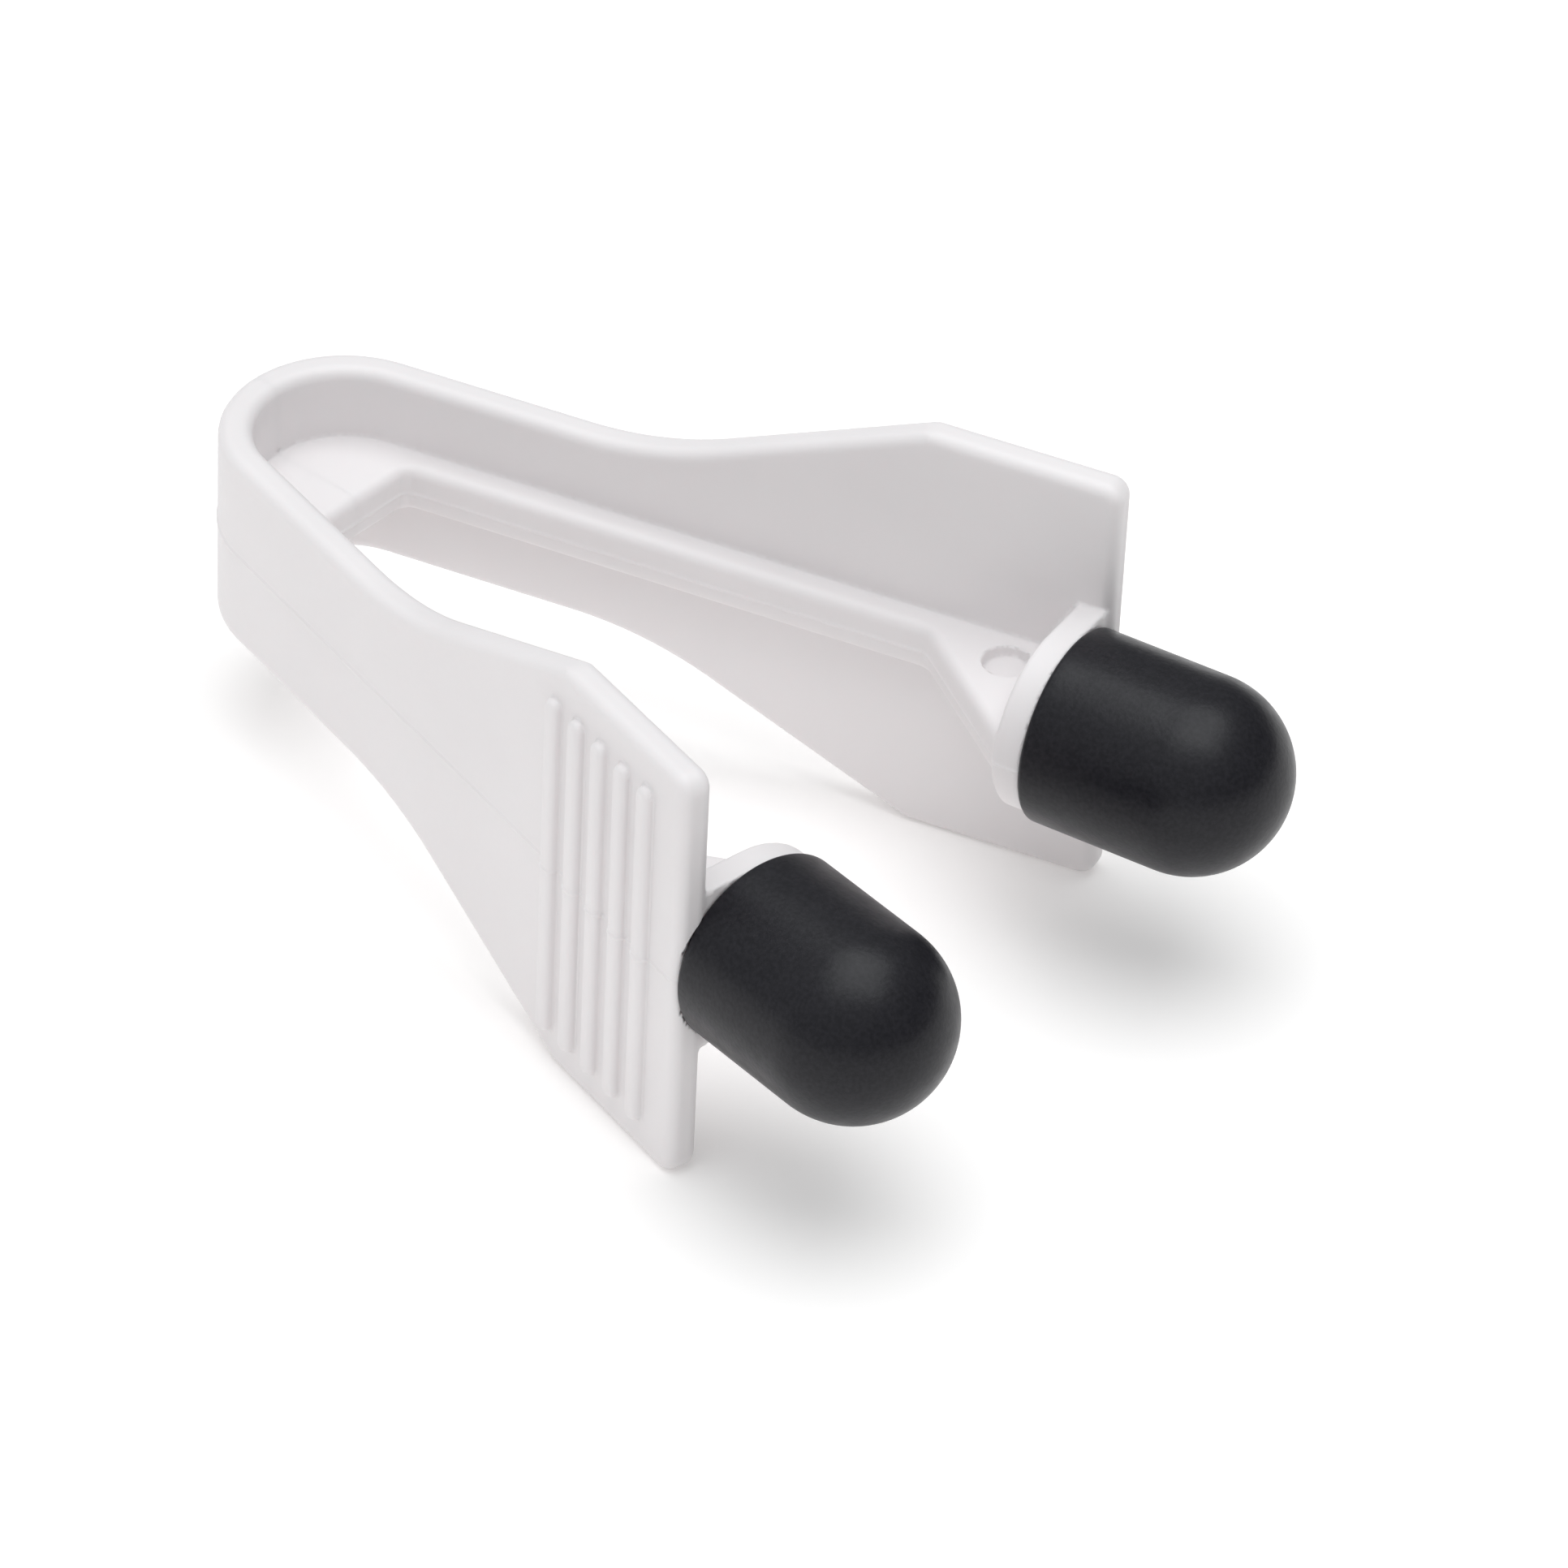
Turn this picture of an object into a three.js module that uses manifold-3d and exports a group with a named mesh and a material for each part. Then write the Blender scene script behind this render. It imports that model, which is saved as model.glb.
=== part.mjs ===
import * as THREE from 'three';
import { mergeVertices } from 'three/addons/utils/BufferGeometryUtils.js';
import Module from 'manifold-3d';

// Squeeze tongs: one plastic strap bent into a bow, with two arms that spread forwards into
// ribbed paddles, and a rubber cap pushed onto a post beside the end of each paddle.
// Millimetres. +X points to the caps, +Y to the left arm and +Z up. The origin is under the
// middle of the object, on the surface that the paddles stand on.
//
// The strap is one moulding. It is drawn as three rigid pieces, the bow and the two arms,
// which meet at the flex line of each arm with a narrow wedge of room to bend.
//
// Arm frame: x runs along the arm from the end of the bow's curve, y is 0 on the outer face and
// negative towards the middle of the object, z is 0 at half height.
// Cap frame: x runs along the cap from its rim, and y and z are measured from the cap's axis.

const wasm = await Module();
wasm.setup();

const degree = Math.PI / 180;

// Strap
const bowRadius = 8;
const wall = 2.2;
const edgeRound = 0.9;
const armAngle = 15.5 * degree;
const armLength = 49.4;
const shankHalfHeight = 7;
const paddleHalfHeight = 15;
const flareStart = 13.1;
const flareRadius = 24;
const flareAngle = 23.5 * degree;
const shoulderRadius = 2.5;

// Flex line between bow and arm
const flexPlace = 9;
const flexGap = 0.3;
const flexWedge = 9 * degree;
const flexOverlap = 1;

// Web inside the bow, rail along each arm and gusset under each cap
const webThickness = 3.36;
const webLift = 0.22;
const webRound = 0.75;
const webFront = 1;
const webCorner = 0.8;
const railDepth = 1.75;
const railInside = wall + railDepth;
const gussetStart = 38.05;
const gussetTip = [45.9, 11.5];
const railEnd = -1;
const railEndHalf = 4.9;
const ejectorPlace = [43.7, 4.6];
const ejectorRadius = 1.55;
const ejectorDepth = 0.85;

// Cap, and the collar and post that carry it
const capPlace = [48.65, 6.32];
const capTurn = 6.3 * degree;
const capRadius = 6.34;
const capBarrel = 8.7;
const capRimRound = 0.35;
const fitGap = 0.3;
const scallopRadius = capRadius + 0.34;
const scallopLength = 4;
const collarRadius = 5.95;
const collarReach = 4.6;
const collarThickness = 1.7;
const buttressDepth = 6.7;
const buttressCrease = -3.4;
const buttressTurn = 14 * degree;
const buttressLean = 0.6;
const postRoot = -1.5;
const postRadius = 3.6;
const beadRadius = 4.1;
const postOutline = [[postRadius, 5], [beadRadius, 5.6], [beadRadius, 6.6], [2.9, 9]];

// Grip ribs on the outer face of each paddle
const ribCount = 5;
const ribFirst = 36;
const ribPitch = 2.45;
const ribRadius = 0.65;
const ribHeight = 0.57;
const ribReach = 12.6;

// Facets
const cornerSteps = 3;
const bowSteps = 28;
const curveSteps = 3;
const roundSteps = 48;
const endRoundAngles = [25 * degree, 50 * degree, 75 * degree];

// Places of the frames
const armStart = new THREE.Vector3(-Math.sin(armAngle), Math.cos(armAngle), 0).multiplyScalar(bowRadius);
const capHeading = armAngle - capTurn;
const capInArm = new THREE.Vector3(capPlace[0], -capPlace[1], 0);
const capInPlan = capInArm.clone().applyAxisAngle(new THREE.Vector3(0, 0, 1), armAngle).add(armStart);
const frontReach = capInPlan.x + capBarrel * Math.cos(capHeading) + capRadius;
const middle = (frontReach - bowRadius) / 2;

// ---- solids ----

function toSolid(geometry) {
  geometry.deleteAttribute('normal');
  geometry.deleteAttribute('uv');
  const merged = mergeVertices(geometry);
  const vertProperties = new Float32Array(merged.attributes.position.array);
  const triVerts = new Uint32Array(merged.index.array);
  return new wasm.Manifold(new wasm.Mesh({ numProp: 3, vertProperties, triVerts }));
}

function toGeometry(solid) {
  const { vertProperties, triVerts } = solid.getMesh();
  const geometry = new THREE.BufferGeometry();
  geometry.setAttribute('position', new THREE.BufferAttribute(vertProperties, 3));
  geometry.setIndex(new THREE.BufferAttribute(triVerts, 1));
  geometry.computeVertexNormals();
  return geometry;
}

function mirrored(geometry) {
  const copy = geometry.clone().scale(1, -1, 1);
  const corners = copy.index.array;
  for (let i = 0; i < corners.length; i += 3) {
    [corners[i + 1], corners[i + 2]] = [corners[i + 2], corners[i + 1]];
  }
  copy.computeVertexNormals();
  return copy;
}

// Skin over a row of rings that all have the same number of points, with flat ends.
function loft(rings) {
  const count = rings[0].length;
  const last = (rings.length - 1) * count;
  const index = [];
  for (let start = 0; start < last; start += count) {
    for (let i = 0; i < count; i += 1) {
      const here = start + i;
      const next = start + (i + 1) % count;
      index.push(here, next, here + count, next, next + count, here + count);
    }
  }
  for (let i = 1; i + 1 < count; i += 1) {
    index.push(0, i + 1, i, last, last + i, last + i + 1);
  }
  const positions = rings.flat().flatMap((point) => point.toArray());
  const geometry = new THREE.BufferGeometry();
  geometry.setAttribute('position', new THREE.Float32BufferAttribute(positions, 3));
  geometry.setIndex(index);
  return geometry;
}

// Flat plate a little above half height, cut to an outline and rounded along its edges.
function plate(outline) {
  const geometry = new THREE.ExtrudeGeometry(outline, {
    depth: webThickness - 2 * webRound,
    bevelThickness: webRound,
    bevelSize: webRound,
    bevelOffset: -webRound,
    bevelSegments: cornerSteps,
    curveSegments: bowSteps,
  });
  return geometry.translate(0, 0, webLift + webRound - webThickness / 2);
}

// Turned body along x, from an outline of [radius, distance] pairs that starts and ends on the axis.
function turned(outline) {
  const points = outline.map(([radius, distance]) => new THREE.Vector2(radius, distance));
  return new THREE.LatheGeometry(points, roundSteps).rotateZ(-Math.PI / 2);
}

// From the cap frame to the arm frame: a geometry, and a point in plan.
function inArm(geometry) {
  return geometry.rotateZ(-capTurn).translate(capInArm.x, capInArm.y, 0);
}

function pointInArm(x, y) {
  const point = new THREE.Vector3(x, y, 0).applyAxisAngle(new THREE.Vector3(0, 0, 1), -capTurn);
  return point.add(capInArm);
}

// Large block that starts at x = 0 and lies ahead of it, or behind it when direction is -1.
function halfSpace(direction) {
  const size = 4 * paddleHalfHeight;
  return new THREE.BoxGeometry(size, size, size).translate(direction * size / 2, 0, 0);
}

// ---- strap ----

// Section of the strap as [y, z] pairs: a tall rectangle with rounded edges.
function strapSection(halfHeight, inset = 0) {
  const section = [];
  for (let quarter = 0; quarter < 4; quarter += 1) {
    const outer = quarter === 0 || quarter === 3;
    const y = outer ? -edgeRound : edgeRound - wall;
    const z = (halfHeight - edgeRound) * (quarter < 2 ? 1 : -1);
    for (let step = 0; step <= cornerSteps; step += 1) {
      const angle = (quarter + step / cornerSteps) * Math.PI / 2;
      const round = edgeRound - inset;
      section.push([y + round * Math.cos(angle), z + round * Math.sin(angle)]);
    }
  }
  return section;
}

// Upper edge of an arm seen from the side: shank, hollow flare, straight slope, shoulder, paddle.
function sideProfile() {
  const flareTop = shankHalfHeight + flareRadius;
  const flareEnd = flareStart + flareRadius * Math.sin(flareAngle);
  const flareHeight = flareTop - flareRadius * Math.cos(flareAngle);
  const peak = flareEnd + (paddleHalfHeight - flareHeight) / Math.tan(flareAngle);
  const shoulder = peak + shoulderRadius * Math.tan(flareAngle / 2);
  const up = Math.PI / 2;
  const path = new THREE.Path();
  path.moveTo(flexPlace - flexOverlap, shankHalfHeight);
  path.lineTo(flareStart, shankHalfHeight);
  path.absarc(flareStart, flareTop, flareRadius, -up, flareAngle - up, false);
  path.absarc(shoulder, paddleHalfHeight - shoulderRadius, shoulderRadius, up + flareAngle, up, true);
  path.lineTo(armLength - edgeRound, paddleHalfHeight);
  return path.getPoints(curveSteps);
}

function armStrap() {
  const ring = (x, section) => section.map(([y, z]) => new THREE.Vector3(x, y, z));
  const rings = sideProfile().map(({ x, y }) => ring(x, strapSection(y)));
  for (const angle of endRoundAngles) {
    const x = armLength - edgeRound * (1 - Math.sin(angle));
    const inset = edgeRound * (1 - Math.cos(angle));
    rings.push(ring(x, strapSection(paddleHalfHeight, inset)));
  }
  return loft(rings);
}

// Place on one leg of the bow, in plan: side is 1 on the left and -1 on the right.
function legPoint(side, x, y) {
  const point = new THREE.Vector2(x, y).rotateAround(new THREE.Vector2(), armAngle);
  point.add(armStart);
  point.y *= side;
  return point;
}

function bowStrap() {
  const section = strapSection(shankHalfHeight);
  const leg = flexPlace + flexOverlap;
  const legRing = (side) => section.map(([y, z]) => {
    const point = legPoint(side, leg, y);
    return new THREE.Vector3(point.x, point.y, z);
  });
  const sweep = Math.PI / 2 - armAngle;
  const rings = [legRing(-1)];
  for (let step = 0; step <= bowSteps; step += 1) {
    const angle = Math.PI + sweep * (1 - 2 * step / bowSteps);
    rings.push(section.map(([y, z]) => new THREE.Vector3(
      (bowRadius + y) * Math.cos(angle), (bowRadius + y) * Math.sin(angle), z)));
  }
  rings.push(legRing(1));
  return loft(rings);
}

// ---- web, rail and gusset ----

// Web that fills the bow, with the start of both rails.
function webOutline() {
  const leg = flexPlace + flexOverlap;
  const hidden = -wall / 2;
  const inside = bowRadius - railInside;
  const cornerX = (webFront + inside * Math.sin(armAngle)) / Math.cos(armAngle);
  const corner = legPoint(1, cornerX, -railInside);
  const railStart = legPoint(1, cornerX + webCorner, -railInside);
  const tangent = Math.PI / 2 + armAngle;
  const shape = new THREE.Shape();
  shape.moveTo(...legPoint(1, leg, hidden));
  shape.lineTo(...legPoint(1, 0, hidden));
  shape.absarc(0, 0, bowRadius + hidden, tangent, -tangent, false);
  shape.lineTo(...legPoint(-1, leg, hidden));
  shape.lineTo(...legPoint(-1, leg, -railInside));
  shape.lineTo(railStart.x, -railStart.y);
  shape.quadraticCurveTo(corner.x, -corner.y, corner.x, webCorner - corner.y);
  shape.lineTo(corner.x, corner.y - webCorner);
  shape.quadraticCurveTo(corner.x, corner.y, railStart.x, railStart.y);
  shape.lineTo(...legPoint(1, leg, -railInside));
  return shape;
}

// Rail along the arm's inner face, widening into the gusset that carries the collar.
function railOutline() {
  const hidden = -wall / 2;
  const endInside = pointInArm(railEnd, -railEndHalf);
  const endAtWall = pointInArm(railEnd, collarReach);
  const shape = new THREE.Shape();
  shape.moveTo(flexPlace - flexOverlap, hidden);
  shape.lineTo(flexPlace - flexOverlap, -railInside);
  shape.lineTo(gussetStart, -railInside);
  shape.lineTo(gussetTip[0], -gussetTip[1]);
  shape.lineTo(endInside.x, endInside.y);
  shape.lineTo(endAtWall.x, hidden);
  return shape;
}

function ejectorRecess() {
  const pin = new THREE.CylinderGeometry(ejectorRadius, ejectorRadius, 2 * ejectorDepth, roundSteps);
  const top = webLift + webThickness / 2;
  return pin.rotateX(Math.PI / 2).translate(ejectorPlace[0], -ejectorPlace[1], top);
}

// ---- collar and post ----

// Disc with a straight bridge to the paddle's inner face, behind the cap's rim.
function collarPlate(depth) {
  const up = Math.PI / 2;
  const shape = new THREE.Shape();
  shape.absarc(0, 0, collarRadius, up, -up, false);
  shape.lineTo(collarReach, -collarRadius);
  shape.lineTo(collarReach, collarRadius);
  const options = { depth, bevelEnabled: false, curveSegments: roundSteps / 2 };
  const geometry = new THREE.ExtrudeGeometry(shape, options);
  const axes = new THREE.Matrix4().makeBasis(
    new THREE.Vector3(0, 1, 0), new THREE.Vector3(0, 0, 1), new THREE.Vector3(1, 0, 0));
  return inArm(geometry.applyMatrix4(axes).translate(-fitGap - depth, 0, 0));
}

// Room that the buttress behind the collar fills: its back leans forwards above and below the web.
function buttressRoom() {
  const half = webThickness / 2;
  const far = 2 * collarRadius;
  const lean = buttressLean * (far - half);
  const shape = new THREE.Shape();
  shape.moveTo(0, -half);
  shape.lineTo(lean, -far);
  shape.lineTo(far, -far);
  shape.lineTo(far, far);
  shape.lineTo(lean, far);
  shape.lineTo(0, half);
  const geometry = new THREE.ExtrudeGeometry(shape, { depth: 2 * far, bevelEnabled: false });
  geometry.rotateX(Math.PI / 2).translate(0, far, 0).rotateZ(buttressTurn);
  return inArm(geometry.translate(buttressCrease, 0, 0));
}

function collarSolid() {
  const buttress = toSolid(collarPlate(buttressDepth)).intersect(toSolid(buttressRoom()));
  return toSolid(collarPlate(collarThickness)).add(buttress);
}

function post() {
  const end = postOutline.at(-1)[1];
  return inArm(turned([[0, postRoot], [postRadius, postRoot], ...postOutline, [0, end]]));
}

// Room for the cap in the end of the paddle.
function scallop() {
  const geometry = new THREE.CylinderGeometry(scallopRadius, scallopRadius, scallopLength, roundSteps);
  geometry.rotateZ(-Math.PI / 2).translate(scallopLength / 2 - fitGap, 0, 0);
  return inArm(geometry);
}

function rib(number) {
  const barLength = 2 * (ribReach - ribRadius);
  const bar = new THREE.CapsuleGeometry(ribRadius, barLength, cornerSteps, 4 * cornerSteps);
  bar.rotateX(Math.PI / 2).scale(1, ribHeight / ribRadius, 1);
  return bar.translate(ribFirst + number * ribPitch, 0, 0);
}

// ---- pieces ----

// Everything in front of the flex line.
function armGeometry() {
  const rail = toSolid(plate(railOutline())).subtract(toSolid(ejectorRecess()));
  let solid = toSolid(armStrap()).subtract(toSolid(scallop()));
  solid = solid.add(rail).add(collarSolid()).add(toSolid(post()));
  for (let number = 0; number < ribCount; number += 1) {
    solid = solid.add(toSolid(rib(number)));
  }
  const behind = halfSpace(-1).translate(flexPlace + flexGap, 0, 0);
  return toGeometry(solid.subtract(toSolid(behind)));
}

// Everything behind both flex lines, cut back in a wedge towards the inside to leave room to bend.
function bowGeometry() {
  const ahead = halfSpace(1).rotateZ(-flexWedge).translate(flexPlace, 0, 0);
  ahead.rotateZ(armAngle).translate(armStart.x, armStart.y, 0);
  const strap = toSolid(bowStrap()).add(toSolid(plate(webOutline())));
  return toGeometry(strap.subtract(toSolid(ahead)).subtract(toSolid(mirrored(ahead))));
}

function capGeometry() {
  const cavity = postOutline.map(([radius, distance]) => [radius + fitGap, distance]).reverse();
  const end = postOutline.at(-1)[1] + fitGap;
  const outline = [[0, end], [cavity[0][0], end], ...cavity.slice(1), [postRadius + fitGap, 0]];
  outline.push([capRadius - capRimRound, 0], [capRadius, capRimRound]);
  for (let step = 0; step < roundSteps / 4; step += 1) {
    const angle = step / (roundSteps / 4) * Math.PI / 2;
    outline.push([capRadius * Math.cos(angle), capBarrel + capRadius * Math.sin(angle)]);
  }
  outline.push([0, capBarrel + capRadius]);
  return turned(outline);
}

const plastic = { color: 0xe6e4e5, roughness: 0.45, metalness: 0 };
const rubber = { color: 0x26262a, roughness: 0.6, metalness: 0 };

function mesh(name, geometry, look) {
  const piece = new THREE.Mesh(geometry, new THREE.MeshStandardMaterial(look));
  piece.name = name;
  return piece;
}

function armWithCap(name, side, geometry) {
  const arm = new THREE.Group();
  arm.position.set(armStart.x, side * armStart.y, 0);
  arm.rotation.z = side * armAngle;
  const cap = mesh(`${name}_cap`, capGeometry(), rubber);
  cap.position.set(capInArm.x, side * capInArm.y, 0);
  cap.rotation.z = -side * capTurn;
  arm.add(mesh(`${name}_arm`, geometry, plastic), cap);
  return arm;
}

const leftArm = armGeometry();
const tongs = new THREE.Group();
tongs.position.set(-middle, 0, paddleHalfHeight);
tongs.add(mesh('spring_bow', bowGeometry(), plastic));
tongs.add(armWithCap('left', 1, leftArm));
tongs.add(armWithCap('right', -1, mirrored(leftArm)));

export default tongs;
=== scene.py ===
import math

import bpy
import numpy as np
from mathutils import Matrix, Vector


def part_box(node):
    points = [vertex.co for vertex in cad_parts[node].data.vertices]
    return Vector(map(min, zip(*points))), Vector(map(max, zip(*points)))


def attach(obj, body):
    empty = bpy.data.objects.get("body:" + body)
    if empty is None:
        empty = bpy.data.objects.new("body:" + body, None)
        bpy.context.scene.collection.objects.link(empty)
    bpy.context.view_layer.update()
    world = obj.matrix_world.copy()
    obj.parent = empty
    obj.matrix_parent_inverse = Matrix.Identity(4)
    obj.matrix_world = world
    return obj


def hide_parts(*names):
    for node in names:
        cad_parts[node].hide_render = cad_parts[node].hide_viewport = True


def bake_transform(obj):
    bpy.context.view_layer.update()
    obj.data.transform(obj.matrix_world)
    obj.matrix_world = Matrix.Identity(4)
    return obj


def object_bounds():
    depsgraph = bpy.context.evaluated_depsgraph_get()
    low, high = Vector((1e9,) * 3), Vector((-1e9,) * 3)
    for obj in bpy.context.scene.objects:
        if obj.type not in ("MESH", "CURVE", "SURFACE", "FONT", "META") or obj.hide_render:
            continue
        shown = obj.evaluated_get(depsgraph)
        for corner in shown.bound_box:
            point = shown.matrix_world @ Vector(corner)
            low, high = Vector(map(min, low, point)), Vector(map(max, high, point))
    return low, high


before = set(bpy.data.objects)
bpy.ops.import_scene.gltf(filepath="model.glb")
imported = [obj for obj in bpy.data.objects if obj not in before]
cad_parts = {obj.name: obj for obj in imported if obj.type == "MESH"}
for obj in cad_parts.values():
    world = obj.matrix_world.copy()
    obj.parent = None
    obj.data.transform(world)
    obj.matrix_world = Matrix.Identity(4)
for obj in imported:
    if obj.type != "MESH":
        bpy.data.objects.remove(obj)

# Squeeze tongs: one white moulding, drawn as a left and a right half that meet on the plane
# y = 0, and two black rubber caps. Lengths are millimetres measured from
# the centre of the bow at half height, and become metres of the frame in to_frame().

cad_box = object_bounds()

# Strap
BOW_RADIUS = 8.0
WALL = 2.2
EDGE_ROUND = 0.8
ARM_ANGLE = math.radians(15.5)
ARM_LENGTH = 49.4
SHANK_HALF = 7.0
PADDLE_HALF = 15.0
FLARE_START = 13.1
FLARE_RADIUS = 24.0
FLARE_ANGLE = math.radians(23.5)
SHOULDER_ROUND = 0.25
END_CORNER = 1.2

# Web, rail and gusset: one plate, a little above half height
WEB_HALF = 1.68
WEB_LIFT = 0.22
WEB_ROUND = 0.77
WEB_FRONT = 1.0
WEB_CORNER = 0.6
RAIL_INSIDE = 3.95
GUSSET_START = 38.05
GUSSET_ANGLE = math.radians(43.8)
GUSSET_REACH = 5.6
PLATE_END = -1.0

# Cap, with the collar and post that carry it
CAP_ALONG = 48.65
CAP_INSET = 6.32
CAP_TURN = math.radians(6.3)
CAP_RADIUS = 6.34
CAP_BARREL = 8.7
RIM_ROUND = 0.3
COLLAR_RADIUS = 5.95
COLLAR_FRONT = -0.03
COLLAR_BACK = -2.0
COLLAR_ROUND = 0.35
BUTTRESS_BACK = -3.4
BUTTRESS_SKEW = -0.25
BUTTRESS_LEAN = 0.58
SCALLOP_RADIUS = 6.28
POST_RADIUS = 3.6
POST_LENGTH = 9.0
BEAD_PLACE = 6.1
BEAD_HEIGHT = 0.5
FIT_GAP = 0.3

# Grip ribs
RIB_FIRST = 36.0
RIB_PITCH = 2.45
RIB_COUNT = 5
RIB_HALF = 0.62
RIB_HEIGHT = 0.62
RIB_ROUND = 0.4
RIB_REACH = 12.6

# Mould marks and fillets
EJECTOR_ALONG = 43.7
EJECTOR_INSET = 4.6
EJECTOR_RADIUS = 1.55
EJECTOR_DEPTH = 0.85
FILLET = 0.2
SMALL_ROUND = 0.15
PARTING_HEIGHT = 0.08
PARTING_WIDTH = 0.11

# Grid that the moulding's surface is meshed on: finer round the cap and the parting line
COARSE = 0.34
FINE = 0.2
SIDE_SPACING = 0.24
HEIGHT_SPACING = 0.306
SEAM_SPACING = 0.07
SEAM_REACH = 3 * PARTING_WIDTH
GRID_MIDDLE = 30
GRID_FRONT = 49
GRID_END = 56.2
GRID_SIDE = 22.0
SETTLING_STEPS = 4
GENTLEST_SLOPE = 0.25
SLOPE_STEP = 0.02

# Corners of the turned caps
CAP_TURNS = 128
MOUTH_GAP = 0.6
CAVITY_START = 0.3

# Light: the sky's strength grows from 0 to SKY_STRENGTH with the height towards its brightest place
LIGHT_COLOUR = (0.97, 0.99, 1.0)
BRIGHTEST_SKY = (-0.1, -0.33, 0.938)
DARK_BELOW = -0.377
SKY_STRENGTH = 0.83
OVERHEAD_PLACE = (0.05, 0.03, 0.85)
OVERHEAD_SIZE = 0.8
OVERHEAD_POWER = 4.5
FLOOR_GLOW = 0.155
FLOOR_COLOUR = (0.975, 0.955, 0.945)
FLOOR_REACH = 3.0

# Each pair is the darkest and lightest, or the smoothest and roughest, that the noise gives
PLASTIC_COLOURS = ((0.806, 0.776, 0.78), (0.83, 0.80, 0.804))
PLASTIC_ROUGHNESS = (0.42, 0.52)
PLASTIC_GRAIN = 0.000004
PLASTIC_SCATTER = (0.0012, 0.001, 0.001)
RUBBER_COLOURS = ((0.0062, 0.006, 0.0088), (0.0125, 0.012, 0.0158))
RUBBER_ROUGHNESS = (0.31, 0.38)
RUBBER_GRAIN = 0.000012

# Camera: where it aims, in millimetres from the bow's centre, and how far back in metres
CAMERA_AIM = (37.62, -1.84, 0)
CAMERA_AZIMUTH = math.radians(-51.39)
CAMERA_ELEVATION = math.radians(38.19)
CAMERA_ROLL = math.radians(2.86)
CAMERA_DISTANCE = 0.5744
CAMERA_LENS = 217.85

bow_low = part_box("spring_bow")[0]
arm_low, arm_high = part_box("left_arm")
BOW_CENTRE = Vector((bow_low[0] + BOW_RADIUS / 1000, 0, (arm_low[2] + arm_high[2]) / 2))


def to_frame(points):
    """Millimetres from the bow's centre to metres in the frame."""
    return np.asarray(points) / 1000 + np.array(BOW_CENTRE)


# ---- the moulding as a distance: negative in the plastic, positive in the air ----


def rounded(a, b, radius):
    """Solid where a and b both are, with a rounded edge."""
    a, b = a + radius, b + radius
    outside = np.hypot(np.maximum(a, 0), np.maximum(b, 0))
    return outside + np.minimum(np.maximum(a, b), 0) - radius


def joined(a, b, radius):
    """Solid where a or b is, with a fillet in the corner."""
    return -rounded(-a, -b, radius)


def arm_place(x, y):
    """Distance along the arm from the end of the bow's curve, and outwards from its outer face."""
    along = x * math.cos(ARM_ANGLE) + y * math.sin(ARM_ANGLE)
    straight = y * math.cos(ARM_ANGLE) - x * math.sin(ARM_ANGLE)
    return along, np.where(along < 0, np.hypot(x, y), straight) - BOW_RADIUS


def cap_place(along, outward):
    """Distance forwards from the cap's rim along its axis, and outwards from the axis."""
    forward, sideways = along - CAP_ALONG, outward + CAP_INSET
    axial = forward * math.cos(CAP_TURN) - sideways * math.sin(CAP_TURN)
    lateral = forward * math.sin(CAP_TURN) + sideways * math.cos(CAP_TURN)
    return axial, lateral


def side_outline(along, height):
    """Shank, hollow flare, straight slope and paddle, as seen from the side."""
    flare_length = FLARE_RADIUS * math.sin(FLARE_ANGLE)
    hollow = np.clip(along - FLARE_START, 0, flare_length)
    steep = np.sqrt(1 - (hollow / FLARE_RADIUS) ** 2)
    lift = FLARE_RADIUS * (1 - steep)
    slope = np.maximum(along - FLARE_START - flare_length, 0) * math.tan(FLARE_ANGLE)
    top = (height - SHANK_HALF - lift - slope) * steep
    top = rounded(top, height - PADDLE_HALF, SHOULDER_ROUND)
    return rounded(top, along - ARM_LENGTH, END_CORNER)


def strap(along, outward, height, axial, lateral):
    faces = np.abs(outward + WALL / 2) - WALL / 2
    body = rounded(side_outline(along, height), faces, EDGE_ROUND)
    scallop = np.maximum(np.hypot(lateral, height) - SCALLOP_RADIUS, COLLAR_FRONT - axial)
    return rounded(body, -scallop, SMALL_ROUND / 2)


def grip_ribs(along, outward, height):
    number = np.clip(np.round((along - RIB_FIRST) / RIB_PITCH), 0, RIB_COUNT - 1)
    across = along - RIB_FIRST - number * RIB_PITCH
    end = np.maximum(height - RIB_REACH + RIB_HALF, 0)
    bar = rounded(np.hypot(across, end) - RIB_HALF, outward - RIB_HEIGHT, RIB_ROUND)
    return np.maximum(bar, -outward - WALL / 2)


def plate(x, z, along, outward, axial, lateral):
    """Web in the bow, rail along the arm and gusset under the cap, with the ejector's mark."""
    inner = joined(-RAIL_INSIDE - outward, x - WEB_FRONT, WEB_CORNER)
    back, inside = GUSSET_START - along, -RAIL_INSIDE - outward
    gusset = back * math.sin(GUSSET_ANGLE) + inside * math.cos(GUSSET_ANGLE)
    gusset = np.maximum(gusset, -lateral - GUSSET_REACH)
    outline = joined(inner, gusset, FILLET)
    outline = np.maximum(outline, np.maximum(axial - PLATE_END, outward + WALL / 2))
    body = rounded(outline, np.abs(z - WEB_LIFT) - WEB_HALF, WEB_ROUND)
    pin = np.hypot(along - EJECTOR_ALONG, outward + EJECTOR_INSET) - EJECTOR_RADIUS
    recess = rounded(pin, WEB_LIFT + WEB_HALF - EJECTOR_DEPTH - z, SMALL_ROUND)
    return rounded(body, -recess, SMALL_ROUND / 2)


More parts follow.
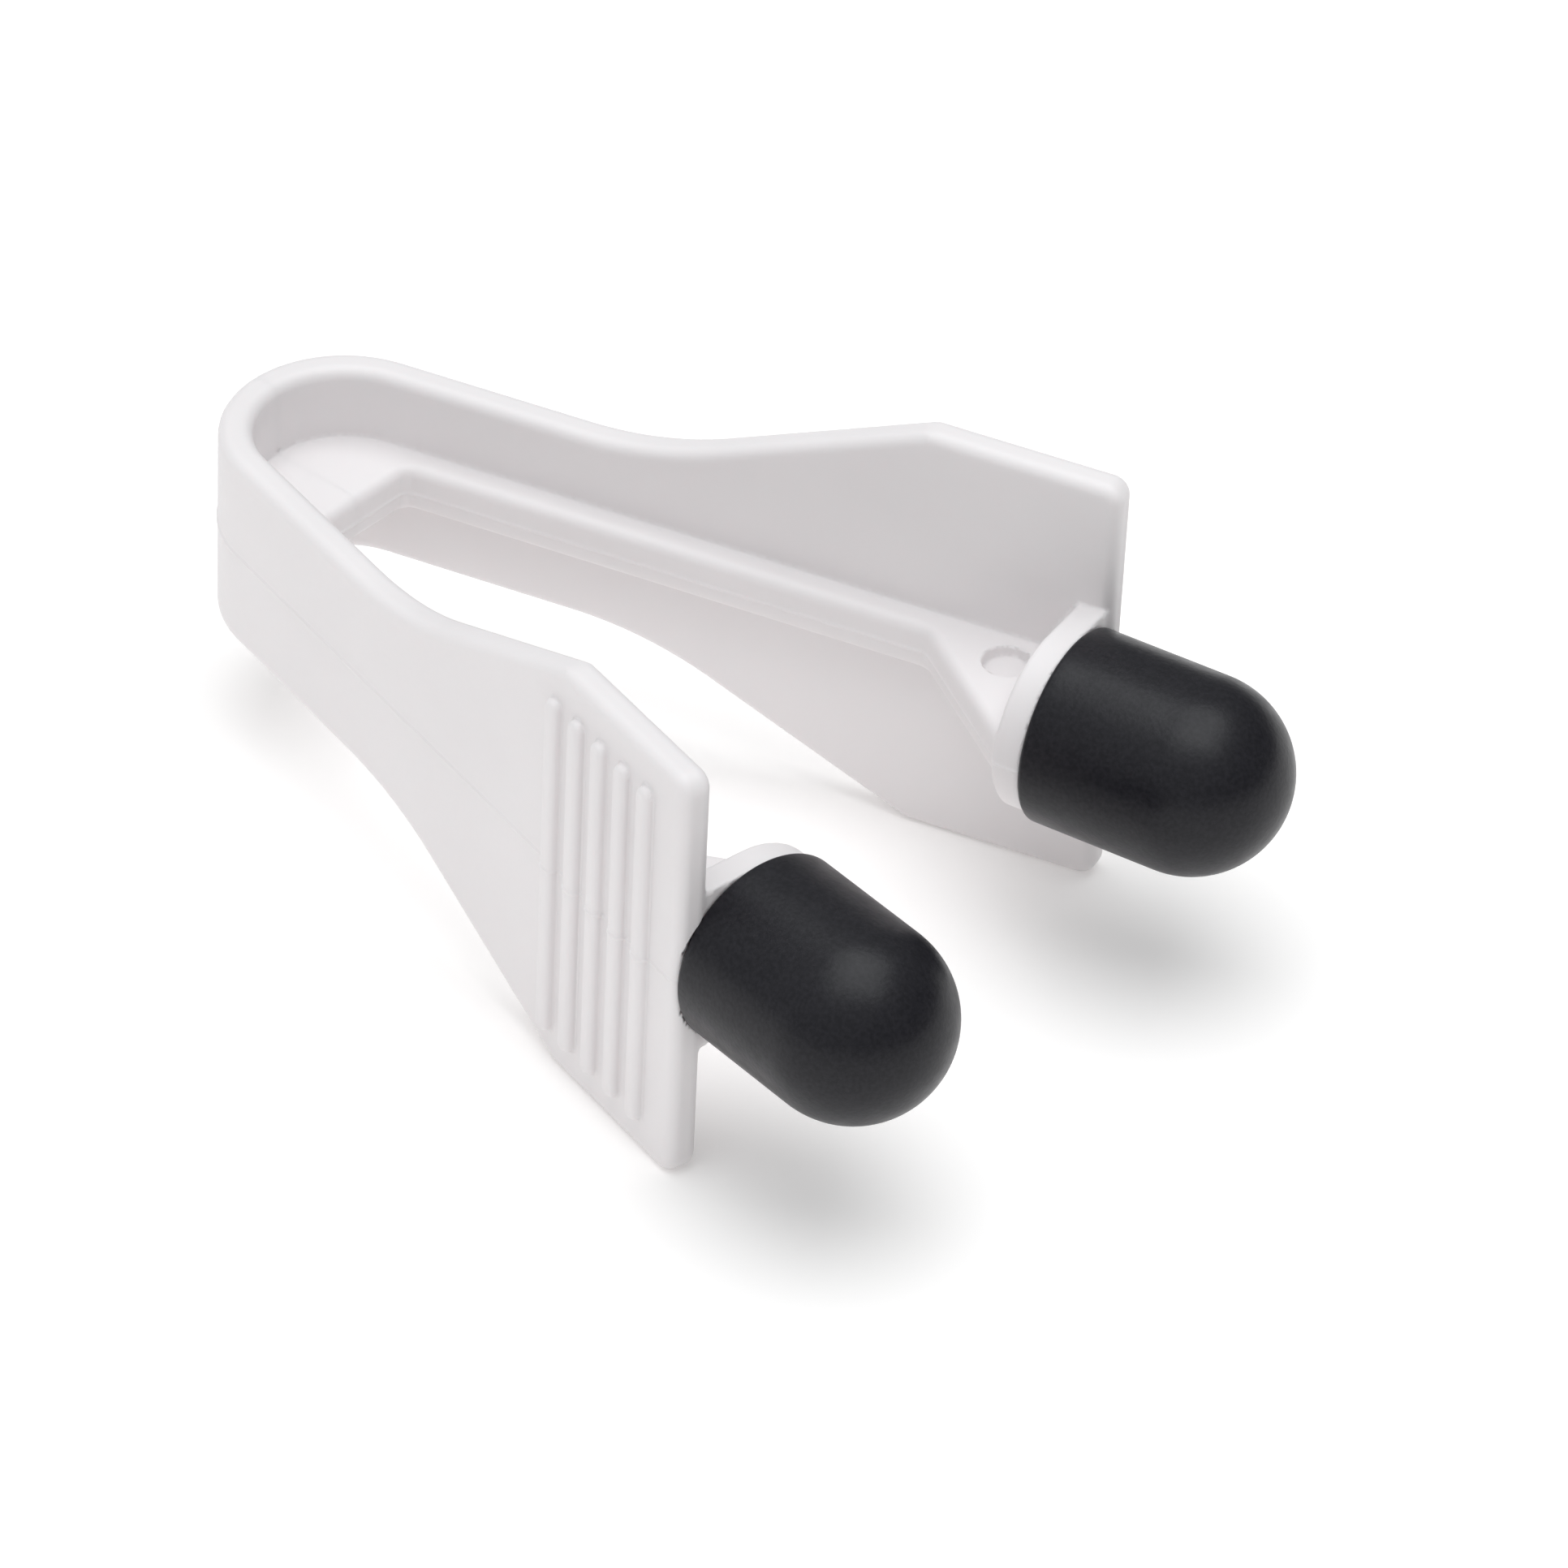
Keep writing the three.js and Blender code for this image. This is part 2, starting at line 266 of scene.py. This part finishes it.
def collar(outward, height, axial, lateral):
    """Disc behind the cap with a bridge to the paddle, and a buttress that leans on its back."""
    disc = np.hypot(np.minimum(lateral, 0), height) - COLLAR_RADIUS
    lean = BUTTRESS_LEAN * np.maximum(height - WEB_HALF, 0)
    steepness = math.sqrt(1 + BUTTRESS_SKEW**2 + BUTTRESS_LEAN**2)
    buttress = (BUTTRESS_BACK + BUTTRESS_SKEW * lateral + lean - axial) / steepness
    back = joined(buttress, COLLAR_BACK - axial, FILLET)
    body = rounded(rounded(disc, back, COLLAR_ROUND), axial - COLLAR_FRONT, SMALL_ROUND)
    return np.maximum(body, outward + WALL / 2)


def post_radius(axial):
    return POST_RADIUS + BEAD_HEIGHT * np.exp(-((axial - BEAD_PLACE) ** 2))


def post(height, axial, lateral):
    side = np.hypot(lateral, height) - post_radius(axial)
    return np.maximum(rounded(side, axial - POST_LENGTH, EDGE_ROUND), PLATE_END - axial)


def moulding(x, y, z):
    """Distance from the moulding's surface. The halves mirror each other, so only |y| counts."""
    along, outward = arm_place(x, np.abs(y))
    axial, lateral = cap_place(along, outward)
    height = np.abs(z)
    body = strap(along, outward, height, axial, lateral)
    body = joined(body, plate(x, z, along, outward, axial, lateral), FILLET)
    body = joined(body, collar(outward, height, axial, lateral), FILLET)
    body = joined(body, post(height, axial, lateral), SMALL_ROUND)
    body = joined(body, grip_ribs(along, outward, height), SMALL_ROUND)
    return body - PARTING_HEIGHT * np.exp(-((z / PARTING_WIDTH) ** 2))


# ---- meshes ----


def gradient(points):
    """Direction in which the distance grows, at each point."""
    slopes = []
    for axis in range(3):
        shift = np.zeros(3)
        shift[axis] = SLOPE_STEP
        rise = moulding(*(points + shift).T) - moulding(*(points - shift).T)
        slopes.append(rise / (2 * SLOPE_STEP))
    return np.stack(slopes, axis=1)


def surface_net(inside, axes):
    """One point in each grid cell that the surface crosses, and quads that join them."""
    cells = [n - 1 for n in inside.shape]
    count = np.zeros(cells, int)
    for i, j, k in np.ndindex(2, 2, 2):
        count += inside[i:i + cells[0], j:j + cells[1], k:k + cells[2]]
    crossed = (count > 0) & (count < 8)
    number = np.full(cells, -1)
    number[crossed] = np.arange(crossed.sum())
    middles = [(axis[:-1] + axis[1:]) / 2 for axis in axes]
    places = np.argwhere(crossed)
    points = np.stack([middle[place] for middle, place in zip(middles, places.T)], axis=1)
    quads = []
    for axis in range(3):
        order = (axis, (axis + 1) % 3, (axis + 2) % 3)
        solid, cell = inside.transpose(order), number.transpose(order)
        ring = np.stack([cell[:, 1:, 1:], cell[:, :-1, 1:], cell[:, :-1, :-1], cell[:, 1:, :-1]], -1)
        start, stop = solid[:-1, 1:-1, 1:-1], solid[1:, 1:-1, 1:-1]
        quads += [ring[start & ~stop], ring[~start & stop][:, ::-1]]
    return points, np.concatenate(quads)


def drawn_to_surface(points):
    """Points moved along the gradient until they lie on the moulding's surface."""
    for _ in range(SETTLING_STEPS):
        slope = gradient(points)
        square = np.maximum((slope**2).sum(axis=1), GENTLEST_SLOPE)
        points = points - (moulding(*points.T) / square)[:, None] * slope
    return points


def neighbour_average(points, quads):
    """The average of the points that each point shares an edge with, which evens the mesh out."""
    total = np.zeros_like(points)
    count = np.zeros(len(points))
    for corner in range(4):
        here, there = quads[:, corner], quads[:, (corner + 1) % 4]
        np.add.at(total, here, points[there])
        np.add.at(count, here, 1)
    return total / count[:, None]


def spaced(*stretches):
    """Grid lines through (end, spacing) stretches, from the first end."""
    lines = [np.array([stretches[0]])]
    for end, spacing in stretches[1:]:
        start = lines[-1][-1]
        lines.append(np.linspace(start, end, max(2, math.ceil((end - start) / spacing) + 1))[1:])
    return np.concatenate(lines)


def half_moulding():
    """Points, quads and normals of the left half, open on the plane y = 0."""
    back = -BOW_RADIUS - 2 * COARSE
    xs = spaced(back, (GRID_MIDDLE, COARSE), (GRID_FRONT, FINE), (GRID_END, COARSE))
    ys = np.arange(-FINE / 2, GRID_SIDE, SIDE_SPACING)
    edge = PADDLE_HALF + COARSE
    zs = spaced(
        -edge,
        (-SEAM_REACH, HEIGHT_SPACING),
        (SEAM_REACH, SEAM_SPACING),
        (edge, HEIGHT_SPACING),
    )
    inside = moulding(*np.meshgrid(xs, ys, zs, indexing="ij")) < 0
    points, quads = surface_net(inside, (xs, ys, zs))
    middle = points[:, 1] < ys[1]
    points = drawn_to_surface(points)
    for _ in range(SETTLING_STEPS):
        points = drawn_to_surface((points + neighbour_average(points, quads)) / 2)
        points[middle, 1] = 0
    normals = gradient(points)
    normals[middle, 1] = 0
    return points, quads, normals / np.linalg.norm(normals, axis=1)[:, None]


def smooth_piece(name, points, faces, normals=None):
    mesh = bpy.data.meshes.new(name)
    mesh.from_pydata(to_frame(points).tolist(), [], [list(map(int, face)) for face in faces])
    mesh.shade_smooth()
    if normals is not None:
        mesh.normals_split_custom_set_from_vertices(normals.tolist())
    piece = bpy.data.objects.new(name, mesh)
    bpy.context.scene.collection.objects.link(piece)
    return piece


def cap_profile():
    """The cap's outline as [distance forwards, radius], from the cavity's end round to the tip."""
    depth = np.linspace(POST_LENGTH, CAVITY_START, 30)
    cavity = np.stack([depth, post_radius(depth) + FIT_GAP], axis=1)
    start = [[POST_LENGTH + FIT_GAP, 0], [POST_LENGTH + FIT_GAP, POST_RADIUS - FIT_GAP]]
    angle = np.linspace(0, np.pi / 2, 7)[:, None]
    rim_middle = [RIM_ROUND, CAP_RADIUS - RIM_ROUND]
    rim = rim_middle + RIM_ROUND * np.hstack([-np.cos(angle), np.sin(angle)])
    mouth = [[0, POST_RADIUS + MOUTH_GAP]]
    barrel = np.linspace(RIM_ROUND, CAP_BARREL, 20)[1:-1, None] * [1, 0] + [0, CAP_RADIUS]
    angle = np.linspace(0, np.pi / 2, 33)[:, None]
    dome = [CAP_BARREL, 0] + CAP_RADIUS * np.hstack([np.sin(angle), np.cos(angle)])
    return np.concatenate([start, cavity, mouth, rim, barrel, dome])


def rubber_cap(name, side):
    """A turned cap on the arm at side 1, left, or -1, right."""
    profile = cap_profile()
    rings, tip = profile[1:-1], profile[-1]
    angle = np.arange(CAP_TURNS) * 2 * np.pi / CAP_TURNS
    shape = (len(rings), CAP_TURNS)
    body = np.stack([
        np.broadcast_to(rings[:, :1], shape),
        rings[:, 1:] * np.cos(angle),
        rings[:, 1:] * np.sin(angle),
    ], axis=-1).reshape(-1, 3)
    points = np.concatenate([body, [[profile[0][0], 0, 0], [tip[0], 0, 0]]])
    index = np.arange(len(body)).reshape(shape)
    here, there = index[:-1], index[1:]
    quads = np.stack([here, np.roll(here, -1, 1), np.roll(there, -1, 1), there], -1).reshape(-1, 4)
    first, last = index[0], index[-1]
    ends = [[len(body), b, a] for a, b in zip(first, np.roll(first, -1))]
    ends += [[len(body) + 1, a, b] for a, b in zip(last, np.roll(last, -1))]
    heading = ARM_ANGLE - CAP_TURN
    inset = BOW_RADIUS - CAP_INSET
    rim_x = CAP_ALONG * math.cos(ARM_ANGLE) - inset * math.sin(ARM_ANGLE)
    rim_y = CAP_ALONG * math.sin(ARM_ANGLE) + inset * math.cos(ARM_ANGLE)
    turn = np.array(Matrix.Rotation(side * heading, 3, "Z"))
    points = points @ turn.T + [rim_x, side * rim_y, 0]
    return smooth_piece(name, points, [face[::-1] for face in [*quads.tolist(), *ends]])


# ---- materials ----


def new_material(name):
    material = bpy.data.materials.new(name)
    material.use_nodes = True
    nodes = material.node_tree.nodes
    return material, nodes, material.node_tree.links, nodes["Principled BSDF"]


def noise(nodes, links, scale, detail):
    """Noise in the piece's own coordinates, with features of about 1000 / scale millimetres."""
    place = nodes.new("ShaderNodeTexCoord")
    texture = nodes.new("ShaderNodeTexNoise")
    texture.inputs["Scale"].default_value = scale
    texture.inputs["Detail"].default_value = detail
    links.new(place.outputs["Object"], texture.inputs["Vector"])
    return texture.outputs["Fac"]


def ramp(nodes, links, factor, low, high):
    """A colour ramp from low to high over the middle of a noise."""
    node = nodes.new("ShaderNodeValToRGB")
    node.color_ramp.elements[0].position = 0.35
    node.color_ramp.elements[1].position = 0.65
    node.color_ramp.elements[0].color = (*low, 1)
    node.color_ramp.elements[1].color = (*high, 1)
    links.new(factor, node.inputs["Fac"])
    return node.outputs["Color"]


def greys(values):
    """Each value as a grey."""
    return [(value,) * 3 for value in values]


def grain(nodes, links, shader, factor, depth):
    """Bump of that depth in metres."""
    bump = nodes.new("ShaderNodeBump")
    bump.inputs["Strength"].default_value = 1
    bump.inputs["Distance"].default_value = depth
    links.new(factor, bump.inputs["Height"])
    links.new(bump.outputs["Normal"], shader.inputs["Normal"])


def white_plastic():
    material, nodes, links, shader = new_material("white_plastic")
    flow = noise(nodes, links, 60, 3)
    links.new(ramp(nodes, links, flow, *PLASTIC_COLOURS), shader.inputs["Base Color"])
    texture = noise(nodes, links, 2500, 2)
    links.new(ramp(nodes, links, texture, *greys(PLASTIC_ROUGHNESS)), shader.inputs["Roughness"])
    grain(nodes, links, shader, texture, PLASTIC_GRAIN)
    shader.inputs["Subsurface Weight"].default_value = 0.15
    shader.inputs["Subsurface Radius"].default_value = PLASTIC_SCATTER
    shader.inputs["Subsurface Scale"].default_value = 1
    shader.inputs["IOR"].default_value = 1.49
    return material


def black_rubber():
    material, nodes, links, shader = new_material("black_rubber")
    dust = noise(nodes, links, 3500, 3)
    links.new(ramp(nodes, links, dust, *RUBBER_COLOURS), shader.inputs["Base Color"])
    patches = noise(nodes, links, 700, 3)
    links.new(ramp(nodes, links, patches, *greys(RUBBER_ROUGHNESS)), shader.inputs["Roughness"])
    grain(nodes, links, shader, dust, RUBBER_GRAIN)
    shader.inputs["Specular IOR Level"].default_value = 0.27
    return material


def floor_material():
    material, nodes, links, shader = new_material("pale_floor")
    shader.inputs["Base Color"].default_value = (*FLOOR_COLOUR, 1)
    shader.inputs["Emission Color"].default_value = (1, 1, 1, 1)
    shader.inputs["Emission Strength"].default_value = FLOOR_GLOW
    shader.inputs["Roughness"].default_value = 0.9
    shader.inputs["Specular IOR Level"].default_value = 0.1
    return material


# ---- floor, lights and camera ----


def add_floor():
    mesh = bpy.data.meshes.new("floor")
    height = cad_box[0][2]
    sides = ((-1, -1), (1, -1), (1, 1), (-1, 1))
    corners = [(x * FLOOR_REACH, y * FLOOR_REACH, height) for x, y in sides]
    mesh.from_pydata(corners, [], [(0, 1, 2, 3)])
    mesh.materials.append(floor_material())
    floor = bpy.data.objects.new("floor", mesh)
    bpy.context.scene.collection.objects.link(floor)


def add_softbox(name, place, size, power):
    """A square light at place, in metres from the bow's centre, that faces the tongs."""
    light = bpy.data.lights.new(name, "AREA")
    light.shape = "SQUARE"
    light.size = size
    light.energy = power
    light.color = LIGHT_COLOUR
    lamp = bpy.data.objects.new(name, light)
    lamp.location = place
    lamp.rotation_euler = (-Vector(place)).to_track_quat("-Z", "Y").to_euler()
    bpy.context.scene.collection.objects.link(lamp)


def add_world():
    """Soft studio light: brightest nearly overhead, a little to the right, and dim at the horizon."""
    world = bpy.data.worlds.new("studio")
    world.use_nodes = True
    nodes, links = world.node_tree.nodes, world.node_tree.links
    direction = nodes.new("ShaderNodeTexCoord")
    height = nodes.new("ShaderNodeVectorMath")
    height.operation = "DOT_PRODUCT"
    height.inputs[1].default_value = BRIGHTEST_SKY
    strength = nodes.new("ShaderNodeMapRange")
    strength.inputs["From Min"].default_value = DARK_BELOW
    strength.inputs["To Max"].default_value = SKY_STRENGTH
    background = nodes["Background"]
    background.inputs["Color"].default_value = (*LIGHT_COLOUR, 1)
    links.new(direction.outputs["Generated"], height.inputs[0])
    links.new(height.outputs["Value"], strength.inputs["Value"])
    links.new(strength.outputs["Result"], background.inputs["Strength"])
    bpy.context.scene.world = world


def add_camera():
    """A long lens, in front of the caps, to the right and above."""
    aim = Vector(to_frame(CAMERA_AIM).tolist())
    back = Vector((
        math.cos(CAMERA_ELEVATION) * math.cos(CAMERA_AZIMUTH),
        math.cos(CAMERA_ELEVATION) * math.sin(CAMERA_AZIMUTH),
        math.sin(CAMERA_ELEVATION),
    ))
    across = Vector((-math.sin(CAMERA_AZIMUTH), math.cos(CAMERA_AZIMUTH), 0))
    upright = Matrix((across, back.cross(across), back)).transposed()
    data = bpy.data.cameras.new("camera")
    data.lens = CAMERA_LENS
    data.sensor_width = 36
    data.clip_end = 20
    camera = bpy.data.objects.new("camera", data)
    turned = upright @ Matrix.Rotation(CAMERA_ROLL, 3, "Z")
    camera.matrix_world = Matrix.Translation(aim + back * CAMERA_DISTANCE) @ turned.to_4x4()
    bpy.context.scene.collection.objects.link(camera)
    bpy.context.scene.camera = camera


def add_moulding(material):
    """Both halves of the moulding, set in the frame in place of the bow and arm parts."""
    points, quads, normals = half_moulding()
    mirror = np.array([1, -1, 1])
    halves = {
        "left_half": ("left_arm", 1, points, quads, normals),
        "right_half": ("right_arm", -1, points * mirror, quads[:, ::-1], normals * mirror),
    }
    for name, (arm, side, places, faces, directions) in halves.items():
        half = smooth_piece(name, places, faces, directions)
        half.data.materials.append(material)
        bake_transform(half)
        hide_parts(arm, "spring_bow")


def add_caps(material):
    for side_name, side in (("left", 1), ("right", -1)):
        cap = rubber_cap(f"{side_name}_rubber_cap", side)
        cap.data.materials.append(material)
        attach(cap, f"{side_name}_arm")
        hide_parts(f"{side_name}_cap")


add_camera()
add_world()
add_softbox("overhead", OVERHEAD_PLACE, OVERHEAD_SIZE, OVERHEAD_POWER)
add_floor()
add_moulding(white_plastic())
add_caps(black_rubber())
bpy.context.scene.view_settings.view_transform = "Standard"
